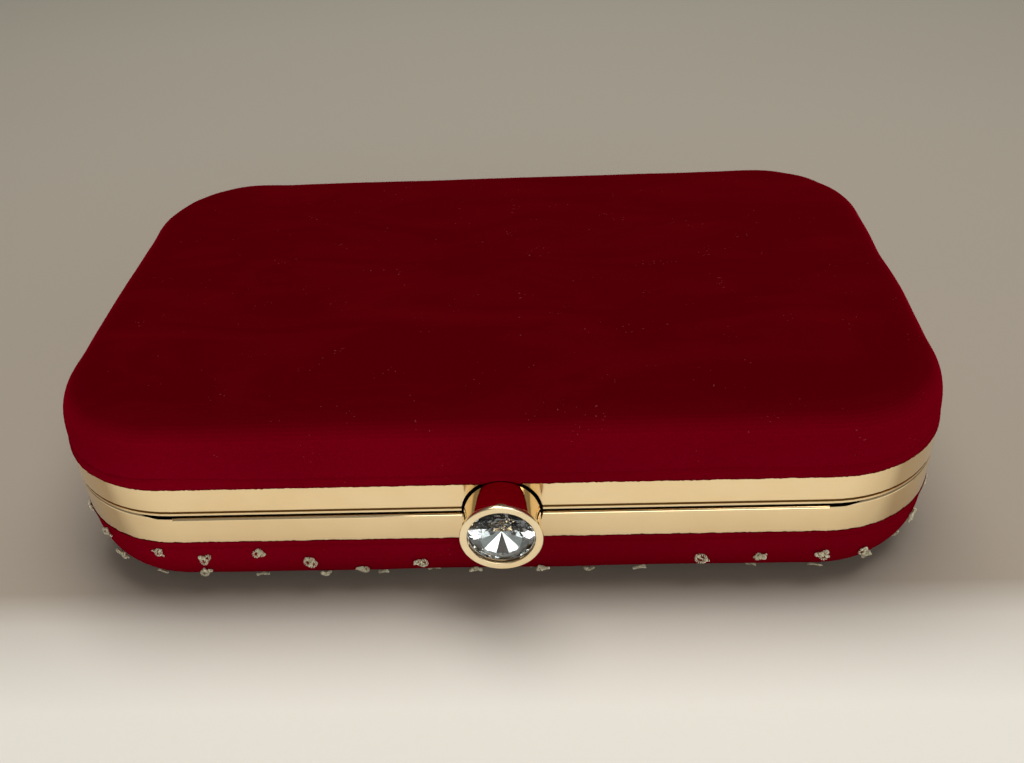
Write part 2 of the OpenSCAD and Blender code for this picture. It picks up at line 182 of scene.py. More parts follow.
def tube(path, radius, sides, closed=False):
    """Verts and faces of a round wire along a path, with capped ends unless it is closed."""
    path = np.asarray(path, float)
    ahead = np.roll(path, -1, 0) - np.roll(path, 1, 0)
    if not closed:
        ahead[0], ahead[-1] = path[1] - path[0], path[-1] - path[-2]
    ahead /= np.linalg.norm(ahead, axis=1)[:, None]
    side = np.cross(ahead[0], [0.3, 0.5, 0.8])
    verts = []
    for point, direction in zip(path, ahead):
        side = side - direction * side.dot(direction)
        side /= np.linalg.norm(side)
        other = np.cross(direction, side)
        for k in range(sides):
            a = 2 * math.pi * k / sides
            verts.append(point + radius * (side * math.cos(a) + other * math.sin(a)))
    faces = []
    count = len(path)
    for i in range(count if closed else count - 1):
        j = (i + 1) % count
        for k in range(sides):
            n = (k + 1) % sides
            faces.append((i * sides + k, i * sides + n, j * sides + n, j * sides + k))
    if not closed:
        faces.append(tuple(reversed(range(sides))))
        faces.append(tuple((count - 1) * sides + k for k in range(sides)))
    return verts, faces


def lathe(name, profile, steps=96):
    """A turned piece on the button's axis. The profile holds (place along +Y from the band, radius)."""
    verts, faces = [], []
    for along, radius in profile:
        for k in range(steps):
            a = 2 * math.pi * k / steps
            verts.append((BUTTON_X + radius * math.cos(a), FRONT_Y + along, SEAM + radius * math.sin(a)))
    count = len(profile)
    for i in range(count):
        j = (i + 1) % count
        for k in range(steps):
            n = (k + 1) % steps
            faces.append((i * steps + k, j * steps + k, j * steps + n, i * steps + n))
    return new_object(name, verts, faces)


def rounded(points, radius, steps=4):
    """A closed profile with each corner rounded off by the given radius, or as much as fits."""
    result = []
    count = len(points)
    for i, point in enumerate(points):
        here = Vector(point)
        before = Vector(points[i - 1]) - here
        after = Vector(points[(i + 1) % count]) - here
        cut = min(radius, before.length * 0.45, after.length * 0.45)
        start, end = here + before.normalized() * cut, here + after.normalized() * cut
        for k in range(steps + 1):
            t = k / steps
            result.append(tuple(start.lerp(here, t).lerp(here.lerp(end, t), t)))
    return result


# ---------------------------------------------------------------- the case's outline and panels

def outline(inset):
    """Points round the case at an inset, counter-clockwise from the middle of the front left corner."""
    long, short = HALF_W - CORNER_R, HALF_D - CORNER_R
    radius = CORNER_R - inset
    half = CORNER_STEPS // 2
    points = []

    def arc(cx, cy, first, steps, skip_end=True):
        for k in range(steps if skip_end else steps + 1):
            a = math.radians(first + 90 * k / CORNER_STEPS)
            points.append((cx + radius * math.cos(a), MID_Y + cy + radius * math.sin(a)))

    def line(start, end, steps):
        for k in range(steps):
            t = k / steps
            points.append((start[0] + (end[0] - start[0]) * t,
                           MID_Y + start[1] + (end[1] - start[1]) * t))

    w, d = long + radius, short + radius
    arc(-long, -short, 225, half)
    line((-long, -d), (long, -d), LONG_STEPS)
    arc(long, -short, 270, CORNER_STEPS)
    line((w, -short), (w, short), SHORT_STEPS)
    arc(long, short, 0, CORNER_STEPS)
    line((long, d), (-long, d), LONG_STEPS)
    arc(-long, short, 90, CORNER_STEPS)
    line((-w, short), (-w, -short), SHORT_STEPS)
    arc(-long, -short, 180, half)
    return np.array(points)


def flat_grid(inset):
    """Points of a quad grid that fills the outline at an inset, with the outline as its border."""
    border = outline(inset)
    nx, ny = LONG_STEPS + CORNER_STEPS, SHORT_STEPS + CORNER_STEPS
    low = border[:nx + 1]
    right = border[nx:nx + ny + 1]
    high = border[nx + ny:2 * nx + ny + 1][::-1]
    left = np.vstack([border[2 * nx + ny:], border[:1]])[::-1]
    s = np.linspace(0, 1, nx + 1)[None, :, None]
    t = np.linspace(0, 1, ny + 1)[:, None, None]
    corners = ((1 - s) * (1 - t) * low[0] + s * (1 - t) * low[-1]
               + (1 - s) * t * high[0] + s * t * high[-1])
    return ((1 - t) * low[None] + t * high[None] + (1 - s) * left[:, None] + s * right[:, None]
            - corners)


def edge_curve(inset, top, steps=9):
    """Insets and heights of a panel's rounded edge, from the wall to the flat."""
    return [(FLAT_INSET - (FLAT_INSET - inset) * math.cos(a) ** SHOULDER,
             WALL_TOP + (top - WALL_TOP) * math.sin(a) ** SHOULDER)
            for a in (math.pi / 2 * i / steps for i in range(steps + 1))]


def panel_skin(profile, side):
    """Verts and faces of an open skin: rings along the profile, then a grid over the flat.

    The profile holds (inset, height above the seam) and side is 1 for the back half, -1 for the front.
    """
    rings = [outline(inset) for inset, _ in profile]
    heights = [height for _, height in profile]
    count = len(rings[0])
    verts = [(x, y, SEAM + side * z) for ring, z in zip(rings, heights) for x, y in ring]
    faces = []
    for i in range(len(rings) - 1):
        for k in range(count):
            n = (k + 1) % count
            faces.append((i * count + k, i * count + n, (i + 1) * count + n, (i + 1) * count + k))
    grid = flat_grid(GRID_INSET)
    rows, columns = grid.shape[:2]
    index = np.full((rows, columns), -1)
    last = (len(rings) - 1) * count
    nx, ny = columns - 1, rows - 1
    border = ([(0, k) for k in range(nx)] + [(k, nx) for k in range(ny)]
              + [(ny, nx - k) for k in range(nx)] + [(ny - k, 0) for k in range(ny)])
    for k, (r, c) in enumerate(border):
        index[r, c] = last + k
    for r in range(rows):
        for c in range(columns):
            if index[r, c] < 0:
                index[r, c] = len(verts)
                verts.append((grid[r, c, 0], grid[r, c, 1], SEAM + side * heights[-1]))
    for r in range(rows - 1):
        for c in range(columns - 1):
            faces.append((index[r, c], index[r, c + 1], index[r + 1, c + 1], index[r + 1, c]))
    if side < 0:
        faces = [tuple(reversed(face)) for face in faces]
    return [tuple(v) for v in verts], [tuple(int(i) for i in face) for face in faces]


def puff(verts, faces, pinned, crown, seed):
    """Blows a skin up like padding under cloth and returns its points, moved by at most crown.

    The skin is closed with a floor and simulated larger than life, where Blender's cloth is steady.
    """
    rim = tuple(range(len(outline(0))))
    rng = random.Random(seed)
    start = np.array(verts)
    rough = start + np.array([[0, 0, rng.uniform(-1, 1) * 0.04 * MM] for _ in verts])
    obj = new_object("puffing", rough * PUFF_SCALE, faces + [rim])
    group = obj.vertex_groups.new(name="pin")
    group.add([int(i) for i in pinned], 1.0, "REPLACE")
    cloth = obj.modifiers.new("cloth", "CLOTH")
    settings = cloth.settings
    settings.vertex_group_mass = "pin"
    settings.quality = 6
    settings.mass = 0.3
    settings.tension_stiffness = 40
    settings.compression_stiffness = 30
    settings.shear_stiffness = 10
    settings.bending_stiffness = 3
    settings.use_pressure = True
    settings.uniform_pressure_force = 4
    settings.effector_weights.gravity = 0
    cloth.point_cache.frame_start = 1
    cloth.point_cache.frame_end = PUFF_FRAMES
    scene = bpy.context.scene
    for number in range(1, PUFF_FRAMES + 1):
        scene.frame_set(number)
    graph = bpy.context.evaluated_depsgraph_get()
    shaped = obj.evaluated_get(graph).to_mesh()
    moved = np.array([v.co for v in shaped.vertices]) / PUFF_SCALE
    bpy.data.objects.remove(obj)
    scene.frame_set(1)
    shift = moved - start
    length = np.linalg.norm(shift, axis=1)
    if length.max() > 1e-9:
        shift *= crown / length.max()
    return start + shift


# ---------------------------------------------------------------- materials

class Shader:
    """A small helper that adds and links nodes in a new material."""

    def __init__(self, name):
        self.material = bpy.data.materials.new(name)
        self.material.use_nodes = True
        self.tree = self.material.node_tree
        self.bsdf = self.tree.nodes["Principled BSDF"]
        self.out = self.tree.nodes["Material Output"]

    def node(self, kind, **inputs):
        made = self.tree.nodes.new(kind)
        for key, value in inputs.items():
            self.set(made, key, value)
        return made

    def set(self, node, key, value):
        """An upper-case first letter names an input socket, with _ for a space; otherwise a property."""
        if key[0].isupper():
            socket = node.inputs[key.replace("_", " ")]
            if isinstance(value, bpy.types.NodeSocket):
                self.tree.links.new(value, socket)
            else:
                socket.default_value = value
        else:
            setattr(node, key, value)

    def link(self, socket, target):
        self.tree.links.new(socket, target)

    def coords(self):
        return self.node("ShaderNodeTexCoord").outputs["Object"]

    def flatness(self):
        """1 where the object's surface faces along its own Z, either way, down to 0 on upright walls."""
        turn = self.node("ShaderNodeVectorTransform", vector_type="NORMAL", convert_from="WORLD",
                         convert_to="OBJECT")
        self.link(self.node("ShaderNodeNewGeometry").outputs["True Normal"], turn.inputs[0])
        split = self.node("ShaderNodeSeparateXYZ")
        self.link(turn.outputs[0], split.inputs[0])
        return self.math("ABSOLUTE", split.outputs["Z"])

    def noise(self, scale, detail=3.0, rough=0.55, vector=None, distortion=0.0):
        made = self.node("ShaderNodeTexNoise", Scale=scale, Detail=detail, Roughness=rough,
                         Distortion=distortion)
        self.link(vector or self.coords(), made.inputs["Vector"])
        return made.outputs["Fac"]

    def ramp(self, factor, stops):
        made = self.node("ShaderNodeValToRGB")
        self.link(factor, made.inputs["Fac"])
        elements = made.color_ramp.elements
        while len(elements) < len(stops):
            elements.new(0.5)
        for element, (position, colour) in zip(elements, stops):
            element.position = position
            element.color = colour if len(colour) == 4 else (*colour, 1)
        return made.outputs["Color"]

    def range(self, factor, low, high, from_low=0.0, from_high=1.0):
        made = self.node("ShaderNodeMapRange", From_Min=from_low, From_Max=from_high, To_Min=low,
                         To_Max=high)
        self.link(factor, made.inputs["Value"])
        return made.outputs["Result"]

    def mix(self, factor, a, b, blend="MIX"):
        made = self.node("ShaderNodeMix")
        made.data_type = "RGBA"
        made.blend_type = blend
        for value, socket in ((factor, made.inputs[0]), (a, made.inputs[6]), (b, made.inputs[7])):
            if isinstance(value, bpy.types.NodeSocket):
                self.link(value, socket)
            else:
                socket.default_value = value if not isinstance(value, tuple) else (*value[:3], 1)
        return made.outputs[2]

    def math(self, operation, a, b=0.5):
        made = self.node("ShaderNodeMath")
        made.operation = operation
        for value, socket in ((a, made.inputs[0]), (b, made.inputs[1])):
            if isinstance(value, bpy.types.NodeSocket):
                self.link(value, socket)
            else:
                socket.default_value = value
        return made.outputs[0]

    def bump(self, height, strength, distance, normal=None):
        made = self.node("ShaderNodeBump", Strength=strength, Distance=distance)
        self.link(height, made.inputs["Height"])
        if normal is not None:
            self.link(normal, made.inputs["Normal"])
        return made.outputs["Normal"]

    def stretched(self, scale):
        made = self.node("ShaderNodeMapping", Scale=scale)
        self.link(self.coords(), made.inputs["Vector"])
        return made.outputs["Vector"]

    def finish(self, **inputs):
        for key, value in inputs.items():
            self.set(self.bsdf, key, value)
        return self.material


def velvet_material():
    """Deep red pile, brushed and dusty. Painted shade makes it darkest over the flat panels, and painted
    sheen makes it brighter round the walls and where it is seen edge-on.
    """
    s = Shader("velvet")
    flat = s.flatness()
    facing = s.node("ShaderNodeLayerWeight", Blend=0.30).outputs["Facing"]
    brushed = s.noise(26, detail=4, rough=0.6, vector=s.stretched((1.0, 2.6, 1.6)), distortion=0.8)
    patches = s.noise(9, detail=2)
    pile = s.noise(3600, detail=2, rough=0.7)
    # Painted shade and sheen: the base red set by how flat the surface is, dark on the flat panels and
    # brighter on the walls
    base = s.ramp(flat, [(0.0, (0.245, 0, 0.0110)), (0.45, (0.200, 0, 0.0080)),
                         (0.80, (0.092, 0, 0.0030)), (1.0, (0.070, 0, 0.0019))])
    # Painted sheen: a brighter red where the surface is seen edge-on
    base = s.mix(s.range(facing, 0.0, 0.5, 0.55, 1.0), base, (0.270, 0, 0.014))
    base = s.mix(s.range(brushed, 0.0, 0.20, 0.45, 0.72), base, (0.170, 0, 0.0050))
    base = s.mix(s.range(patches, 0.0, 0.30, 0.42, 0.68), base, (0.060, 0, 0.0014))
    base = s.mix(s.range(pile, 0.20, 0.0, 0.32, 0.58), base, (0.030, 0, 0.0008))
    speck = s.math("GREATER_THAN", s.noise(1900, detail=0), 0.800)
    dusty = s.math("GREATER_THAN", s.noise(150, detail=0), 0.640)
    lint = s.math("MULTIPLY", s.math("MULTIPLY", speck, dusty), 0.12)
    base = s.mix(lint, base, (0.50, 0.18, 0.16))
    normal = s.bump(pile, 0.28, 0.00030)
    normal = s.bump(brushed, 0.10, 0.0015, normal)
    return s.finish(Base_Color=base, Roughness=1.0, Specular_IOR_Level=0.0, Sheen_Weight=0.10,
                    Sheen_Roughness=0.45, Sheen_Tint=(0.80, 0.0, 0.02, 1), Normal=normal)


def gold_material(name, rough_low, rough_high, bright=(0.95, 0.755, 0.455)):
    """Polished pale gold plating with smudges, scratches and a soft ripple, and painted shade darkening
    its creases.
    """
    s = Shader(name)
    smudge = s.noise(60, detail=4, rough=0.6)
    ripple = s.noise(34, detail=2)
    scratch = s.noise(1.0, detail=2, rough=0.7, vector=s.stretched((70, 70, 2600)))
    tone = s.mix(s.range(smudge, 0.0, 1.0, 0.35, 0.7), bright, (0.91, 0.700, 0.405))
    # Painted shade: dark warm brown in creases, grooves and gaps, where the occlusion node finds the
    # gold closed in
    open_for_painted_shade = s.node("ShaderNodeAmbientOcclusion", samples=8, Distance=0.0013).outputs["AO"]
    tone = s.mix(s.range(open_for_painted_shade, 0.0, 1.0, 0.22, 0.80), (0.38, 0.210, 0.065), tone)
    rough = s.range(smudge, rough_low, rough_high, 0.3, 0.75)
    normal = s.bump(scratch, 0.05, 0.0001)
    normal = s.bump(ripple, 0.10, 0.0006, normal)
    return s.finish(Base_Color=tone, Metallic=1.0, Roughness=rough, Normal=normal)


def wire_material():
    """Pale gold embroidery wire, a little tarnished towards green."""
    s = Shader("bullion_wire")
    tarnish = s.noise(900, detail=3)
    tone = s.mix(s.range(tarnish, 0.0, 1.0, 0.35, 0.65), (0.98, 0.93, 0.74), (0.80, 0.79, 0.58))
    return s.finish(Base_Color=tone, Metallic=0.55, Roughness=s.range(tarnish, 0.20, 0.40),
                    Normal=s.bump(s.noise(6000, detail=1), 0.2, 0.00005))


def steel_material(name, tone):
    """Plated steel or turned brass, with a fine lay from the tool."""
    s = Shader(name)
    lay = s.noise(1.0, detail=3, vector=s.stretched((300, 300, 3200)))
    stain = s.noise(180, detail=4)
    dull = tuple(c * 0.75 for c in tone)
    return s.finish(Base_Color=s.mix(s.range(stain, 0.0, 1.0, 0.4, 0.7), tone, dull), Metallic=1.0,
                    Roughness=s.range(lay, 0.22, 0.42), Normal=s.bump(lay, 0.12, 0.0001))


def satin_material():
    """Champagne satin: a fine twill with a soft gloss along the folds."""
    s = Shader("satin")
    twill = s.node("ShaderNodeTexWave", Scale=1500.0, Distortion=0.4, Detail=1.0)
    twill.wave_type = "BANDS"
    twill.bands_direction = "DIAGONAL"
    s.link(s.coords(), twill.inputs["Vector"])
    drift = s.noise(30, detail=3)
    tone = s.mix(s.range(drift, 0.0, 1.0, 0.35, 0.7), (0.60, 0.46, 0.27), (0.48, 0.35, 0.19))
    tone = s.mix(s.math("MULTIPLY", twill.outputs["Fac"], 0.14), tone, (0.3, 0.2, 0.1))
    normal = s.bump(twill.outputs["Fac"], 0.12, 0.00006)
    normal = s.bump(s.noise(70, detail=3, distortion=1.2), 0.35, 0.0012, normal)
    return s.finish(Base_Color=tone, Roughness=s.range(drift, 0.30, 0.42), Sheen_Weight=0.35,
                    Sheen_Tint=(1.0, 0.9, 0.7, 1), Anisotropic=0.5, Normal=normal)


def foam_material():
    """Off-white wadding with open fibres."""
    s = Shader("wadding")
    fibre = s.noise(900, detail=5, rough=0.7, distortion=2.0)
    tone = s.mix(s.range(fibre, 0.0, 1.0, 0.3, 0.7), (0.82, 0.79, 0.70), (0.62, 0.58, 0.50))
    return s.finish(Base_Color=tone, Roughness=1.0, Specular_IOR_Level=0.05, Sheen_Weight=0.2,
                    Normal=s.bump(fibre, 0.7, 0.0006))


def plastic_material():
    """Black moulded plastic with a fine spark-eroded grain."""
    s = Shader("shell_plastic")
    grain = s.noise(1600, detail=3)
    tone = s.mix(s.noise(40), (0.020, 0.020, 0.021), (0.045, 0.044, 0.043))
    return s.finish(Base_Color=tone, Roughness=s.range(grain, 0.42, 0.62),
                    Normal=s.bump(grain, 0.25, 0.00015))


def crystal_material():
    """Clear cut glass with a trace of grey-green."""
    s = Shader("crystal")
    haze = s.noise(300, detail=2)
    return s.finish(Base_Color=(0.955, 0.975, 0.970, 1), Roughness=s.range(haze, 0.0, 0.02), IOR=1.52,
                    Transmission_Weight=1.0, Specular_IOR_Level=0.5)


def foil_material():
    """Silver foil behind the stone, a little uneven."""
    s = Shader("mirror_foil")
    uneven = s.noise(260, detail=1)
    tone = s.mix(uneven, (0.90, 0.92, 0.92), (0.62, 0.65, 0.66))
    return s.finish(Base_Color=tone, Metallic=1.0, Roughness=0.10, Normal=s.bump(uneven, 0.15, 0.0002))


def paper_material():
    """Pale matt paper with painted light and shade: bright in front of the purse, and greyer where the
    purse lies on it.
    """
    s = Shader("paper")
    split = s.node("ShaderNodeSeparateXYZ")
    s.link(s.coords(), split.inputs["Vector"])
    # Painted light: a pool of light on the paper in front of the purse, fading into painted shade under
    # and behind it
    ahead = s.range(split.outputs["Y"], 1.0, 0.0, FRONT_Y - 36 * MM, FRONT_Y + 4 * MM)
    lit = s.ramp(ahead, [(0.06, (0, 0, 0)), (0.30, (0.5, 0.5, 0.5)), (0.60, (0.78, 0.78, 0.78)),
                         (0.85, (1, 1, 1))])
    away = s.range(split.outputs["Y"], 0.0, 1.0, FRONT_Y, 0.35)
    # Painted shade: the grey of the paper from the purse's front edge back, a little lighter and cooler
    # far away
    grey = s.mix(away, (0.350, 0.305, 0.255), (0.380, 0.360, 0.305))
    tone = s.mix(lit, grey, (0.80, 0.79, 0.74))
    fibre = s.noise(700, detail=4)
    tone = s.mix(s.math("MULTIPLY", fibre, 0.05), tone, (0.5, 0.48, 0.45))
    return s.finish(Base_Color=tone, Roughness=0.9, Specular_IOR_Level=0.15,
                    Normal=s.bump(fibre, 0.05, 0.0003))


# One material for each slot, and two finishes of gold for the barrel and the bezel
MATERIALS = {
    "velvet": velvet_material(),
    "gold_frame": gold_material("gold", 0.07, 0.15),
    "bullion_wire": wire_material(),
    "steel_parts": steel_material("plated_steel", (0.62, 0.62, 0.64)),
    "brass_bush": steel_material("turned_brass", (0.72, 0.55, 0.28)),
    "satin_lining": satin_material(),
    "foam_padding": foam_material(),
    "shell_plastic": plastic_material(),
    "crystal": crystal_material(),
    "mirror_foil": foil_material(),
}
POLISHED_GOLD = gold_material("polished_gold", 0.025, 0.06)
PALE_GOLD = gold_material("pale_gold", 0.16, 0.24, (0.99, 0.86, 0.60))


def finish_piece(obj, body, slot, *nodes, material=None):
    """Gives a new piece its material and body, and lets it stand for its CAD nodes."""
    obj.data.materials.clear()
    obj.data.materials.append(material or MATERIALS[slot])
    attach(obj, body)
    if nodes:
        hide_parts(*nodes)
    return obj


# ---------------------------------------------------------------- soft pieces

def velvet_cover(side, body, node, crown, seed):
    """The velvet over one half: it leaves the band's pocket, rolls over its edge and covers the pad."""
    tuck = BAND_T + 0.15 * MM
    profile = [(tuck, 5.4 * MM), (tuck, 6.6 * MM), (tuck, BAND - 0.15 * MM),
               (0.8 * MM, BAND + 0.12 * MM), (0.42 * MM, BAND + 0.45 * MM),
               (0.26 * MM, BAND + 1.1 * MM), (0.22 * MM, BAND + 2.0 * MM)]
    profile += edge_curve(0.22 * MM, PANEL) + [(RING_INSET, PANEL), (GRID_INSET, PANEL)]
    verts, faces = panel_skin(profile, side)
    count = len(outline(0))
    verts = puff(verts, faces, range(count * 4), crown, seed)
    shaped = [soften(Vector(v), side) for v in verts]
    obj = new_object("velvet_" + ("back" if side > 0 else "front"), shaped, faces)
    thicken(obj, 0.8 * MM)
    subdivide(obj)
    apply_modifiers(obj)
    button_cut(obj, VELVET_CLEARANCE)
    add_fringe(obj, side)
    return finish_piece(obj, body, "velvet", node)


def edge_point(distance, inset):
    """A point on the outline at an inset, a distance along the band from the middle of the front."""
    long, short, arc = HALF_W - CORNER_R, HALF_D - CORNER_R, CORNER_R * math.pi / 2
    runs = [(long, arc), (2 * short, arc), (2 * long, arc), (2 * short, arc), (long, 0)]
    corners = [(long, -short), (long, short), (-long, short), (-long, -short), (-long, -short)]
    for number, ((run, turn), (cx, cy)) in enumerate(zip(runs, corners)):
        start = math.radians(90 * number - 90)
        if distance <= run + turn or number == 4:
            break
        distance -= run + turn
    if number == 4:
        return distance - long, MID_Y - HALF_D + inset
    a = start + max(distance - run, 0) / CORNER_R
    back = max(run - distance, 0)
    radius = CORNER_R - inset
    return (cx + radius * math.cos(a) + back * math.sin(a),
            MID_Y + cy + radius * math.sin(a) - back * math.cos(a))


def add_fringe(obj, side):
    """The ragged pile where the cover's edge meets the band, drawn up in an arc over the button."""
    step = 0.22 * MM
    around = 4 * (HALF_W + HALF_D - 2 * CORNER_R) + 2 * math.pi * CORNER_R
    arc_r = BARREL_R + FRINGE_CLEARANCE
    drop = 0.42 if side > 0 else 0.16
    count = int(around / step)
    mesh = bmesh.new()
    mesh.from_mesh(obj.data)
    rows = []
    for i in range(count):
        along = around * i / count
        x, y = edge_point(along, 0)
        tuft = noise.noise(Vector((x * 420, y * 420, 7 * side))) * 0.5
        tuft += noise.noise(Vector((x * 1700, y * 1700, 3 * side))) * 0.5
        # Insets and heights above the band in millimetres, from the root round to the ragged tip
        profile = ((0.85, 0.10), (0.85, 2.30), (0.42, 2.30), (0.08, 1.30), (-0.04, 0.40),
                   (-0.10 - 0.08 * tuft, -drop - 0.22 * tuft), (0.01, -0.04))
        over = math.sqrt(max(arc_r ** 2 - (x - BUTTON_X) ** 2, 0)) if y < MID_Y else 0
        row = []
        for inset, height in profile:
            x, y = edge_point(along, inset * MM)
            row.append(mesh.verts.new((x, y, SEAM + side * max(BAND + height * MM, over))))
        rows.append(row)
    sides = len(rows[0])
    for low, high in zip(rows, rows[1:] + rows[:1]):
        for k in range(sides):
            n = (k + 1) % sides
            quad = (low[k], low[n], high[n], high[k])
            mesh.faces.new(quad if side > 0 else quad[::-1]).smooth = True
    mesh.to_mesh(obj.data)
    mesh.free()


def soften(point, side):
    """Small unevenness of the padding, and one softer lump on the right side of the back."""
    height = side * (point.z - SEAM)
    free = min(max((height - BAND) / (3 * MM), 0), 1)
    wave = noise.noise(point * 38 + Vector((0, 0, 7 * side))) * 0.28 * MM
    wave += noise.noise(point * 90 + Vector((3, 0, 0))) * 0.10 * MM
    out = Vector((point.x / HALF_W, (point.y - MID_Y) / HALF_D, 0))
    lift = Vector((0, 0, side))
    edge = max(abs(out.x), abs(out.y)) ** 8
    moved = point + (out * edge + lift * (1 - edge)) * wave * free
    if side > 0:
        along = (point.y - MID_Y) / HALF_D
        lump = math.exp(-((along + 0.12) / 0.16) ** 2) - 0.8 * math.exp(-((along - 0.18) / 0.12) ** 2)
        moved.x += max(out.x, 0) ** 10 * lump * 0.55 * MM * free
    return moved


def button_cut(obj, clearance):
    """Cuts a round hole for the button through a piece."""
    bpy.ops.mesh.primitive_cylinder_add(vertices=96, radius=BARREL_R + clearance, depth=14 * MM,
                                        location=(BUTTON_X, FRONT_Y + 3 * MM, SEAM),
                                        rotation=(math.pi / 2, 0, 0))
    cutter = bpy.context.object
    cut = obj.modifiers.new("button", "BOOLEAN")
    cut.operation = "DIFFERENCE"
    cut.solver = "EXACT"
    cut.object = cutter
    apply_modifiers(obj)
    bpy.data.objects.remove(cutter)


def lining(side, body, node):
    """The satin lining of one half."""
    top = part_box("back_lining")[1].z - SEAM
    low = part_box("back_lining")[0].z - SEAM
    wall = 3.95 * MM
    profile = [(wall, low), (wall, low + 1.5 * MM), (wall, low + 4 * MM), (wall, low + 6.5 * MM)]
    profile += edge_curve(wall, top) + [(RING_INSET, top), (GRID_INSET, top)]
    verts, faces = panel_skin(profile, side)
    obj = new_object("lining_" + ("back" if side > 0 else "front"), verts, faces)
    thicken(obj, 0.45 * MM)
    apply_modifiers(obj)
    subdivide(obj)
    apply_modifiers(obj)
    button_cut(obj, INNER_CLEARANCE)
    return finish_piece(obj, body, "satin_lining", node)


def wadding(side, body, node):
    """The padding of one half, a soft layer between the shell and the velvet."""
    low = BAND + 1.1 * MM
    outer = 1.15 * MM
    top = PANEL - 0.95 * MM
    profile = [(outer, low), (outer, low + 1 * MM)] + edge_curve(outer, top)
    profile += [(RING_INSET, top), (GRID_INSET, top)]
    verts, faces = panel_skin(profile, side)
    shaped = []
    for v in verts:
        point = Vector(v)
        point.z -= side * (0.15 + 0.15 * noise.noise(point * 160)) * MM
        shaped.append(point)
    obj = new_object("wadding_" + ("back" if side > 0 else "front"), shaped, faces)
    thicken(obj, 1.0 * MM)
    apply_modifiers(obj)
    button_cut(obj, INNER_CLEARANCE)
    return finish_piece(obj, body, "foam_padding", node)


velvet_back = velvet_cover(1, "back_half", "back_cover", 0.9 * MM, 1)
velvet_front = velvet_cover(-1, "front_half", "front_cover", 0.4 * MM, 2)
wadding(1, "back_half", "back_padding")
wadding(-1, "front_half", "front_padding")
lining(1, "back_half", "back_lining")
lining(-1, "front_half", "front_lining")


# ---------------------------------------------------------------- wire knots

def islands(obj):
    """Vertex positions of each separate solid of a CAD node."""
    mesh = bmesh.new()
    mesh.from_mesh(obj.data)
    bmesh.ops.remove_doubles(mesh, verts=mesh.verts, dist=1e-6)
    seen, groups = set(), []
    for vert in mesh.verts:
        if vert in seen:
            continue
        stack, group = [vert], []
        seen.add(vert)
        while stack:
            at = stack.pop()
            group.append(at.co.copy())
            for edge in at.link_edges:
                other = edge.other_vert(at)
                if other not in seen:
                    seen.add(other)
                    stack.append(other)
        groups.append(np.array(group))
    mesh.free()
    return groups


def coil(centres, coil_r, wire_r, steps, closed):
    """A wire wound in a coil round a line of centres, with the given number of steps to a turn."""
    ahead = np.roll(centres, -1, 0) - np.roll(centres, 1, 0)
    if not closed:
        ahead[0], ahead[-1] = centres[1] - centres[0], centres[-1] - centres[-2]
    ahead /= np.linalg.norm(ahead, axis=1)[:, None]
    side = np.cross(ahead, [0.0, 0.0, 1.0])
    side /= np.linalg.norm(side, axis=1)[:, None]
    other = np.cross(ahead, side)
    a = (2 * math.pi * np.arange(len(centres)) / steps)[:, None]
    return tube(centres + coil_r * (side * np.cos(a) + other * np.sin(a)), wire_r, 4, closed)


def knot_mesh(rng, loops, stubs):
    """Loops and stubs of coiled wire about 3 mm across, the middle at the origin and the back at -Z."""
    steps = 6
    parts = []
    first = rng.uniform(0, 2 * math.pi)
    for number in range(loops):
        radius = (rng.uniform(0.95, 1.12) if loops == 1 else rng.uniform(0.58, 0.74)) * MM
        away = 0.0 if loops == 1 else rng.uniform(0.55, 0.70) * MM
        a = first + 2 * math.pi * number / loops + rng.uniform(-0.3, 0.3)
        t = 2 * math.pi * np.arange(steps * round(radius / MM * 15)) / (steps * round(radius / MM * 15))
        rise = 0.36 + 0.22 * np.sin(t + a) + 0.10 * number
        line = np.stack([away * math.cos(a) + radius * np.cos(t),
                         away * math.sin(a) + radius * rng.uniform(0.75, 1.0) * np.sin(t),
                         rise * MM], axis=1)
        parts.append(coil(line, 0.23 * MM, 0.095 * MM, steps, True))
    for number in range(stubs):
        a = first + 1.0 + 2 * math.pi * number / stubs + rng.uniform(-0.4, 0.4)
        inner = 0.1 if loops == 1 else 0.7
        reach = np.linspace(inner, rng.uniform(1.45, 1.75), 5 * steps)[:, None] * MM
        line = reach * np.array([math.cos(a), math.sin(a), 0]) + np.array([0, 0, 0.42 * MM])
        parts.append(coil(line, 0.19 * MM, 0.085 * MM, steps, False))
    return merged(parts)


def wire_knots():
    """One coiled knot for each CAD knot, seated on the velvet where the CAD puts it."""
    rng = random.Random(5)
    graph = bpy.context.evaluated_depsgraph_get()
    surface = BVHTree.FromObject(velvet_front, graph)
    kinds = [knot_mesh(rng, loops, stubs)
             for loops, stubs in ((3, 1), (1, 3), (2, 3), (3, 0), (4, 2), (1, 2), (2, 2))]
    parts = []
    for group in islands(frame["nodes"]["front_knots"]):
        middle = Vector(group.mean(0))
        inner = Vector((middle.x * 0.85, MID_Y + (middle.y - MID_Y) * 0.85, SEAM - 9 * MM))
        hit, normal, _, _ = surface.ray_cast(middle + (middle - inner).normalized() * 0.01,
                                             inner - middle)
        if hit is None:
            continue
        turn = Matrix.Rotation(rng.uniform(0, 6.28), 4, "Z")
        size = rng.uniform(0.86, 1.14)
        frame_up = normal.to_track_quat("Z", "Y").to_matrix().to_4x4()
        place = Matrix.Translation(hit + normal * 0.12 * MM) @ frame_up @ turn @ Matrix.Scale(size, 4)
        verts, faces = rng.choice(kinds)
        parts.append(([place @ Vector(v) for v in verts], faces))
    obj = new_object("wire_knots", *merged(parts))
    return finish_piece(obj, "front_half", "bullion_wire", "front_knots")


wire_knots()


# ---------------------------------------------------------------- the button and its stone

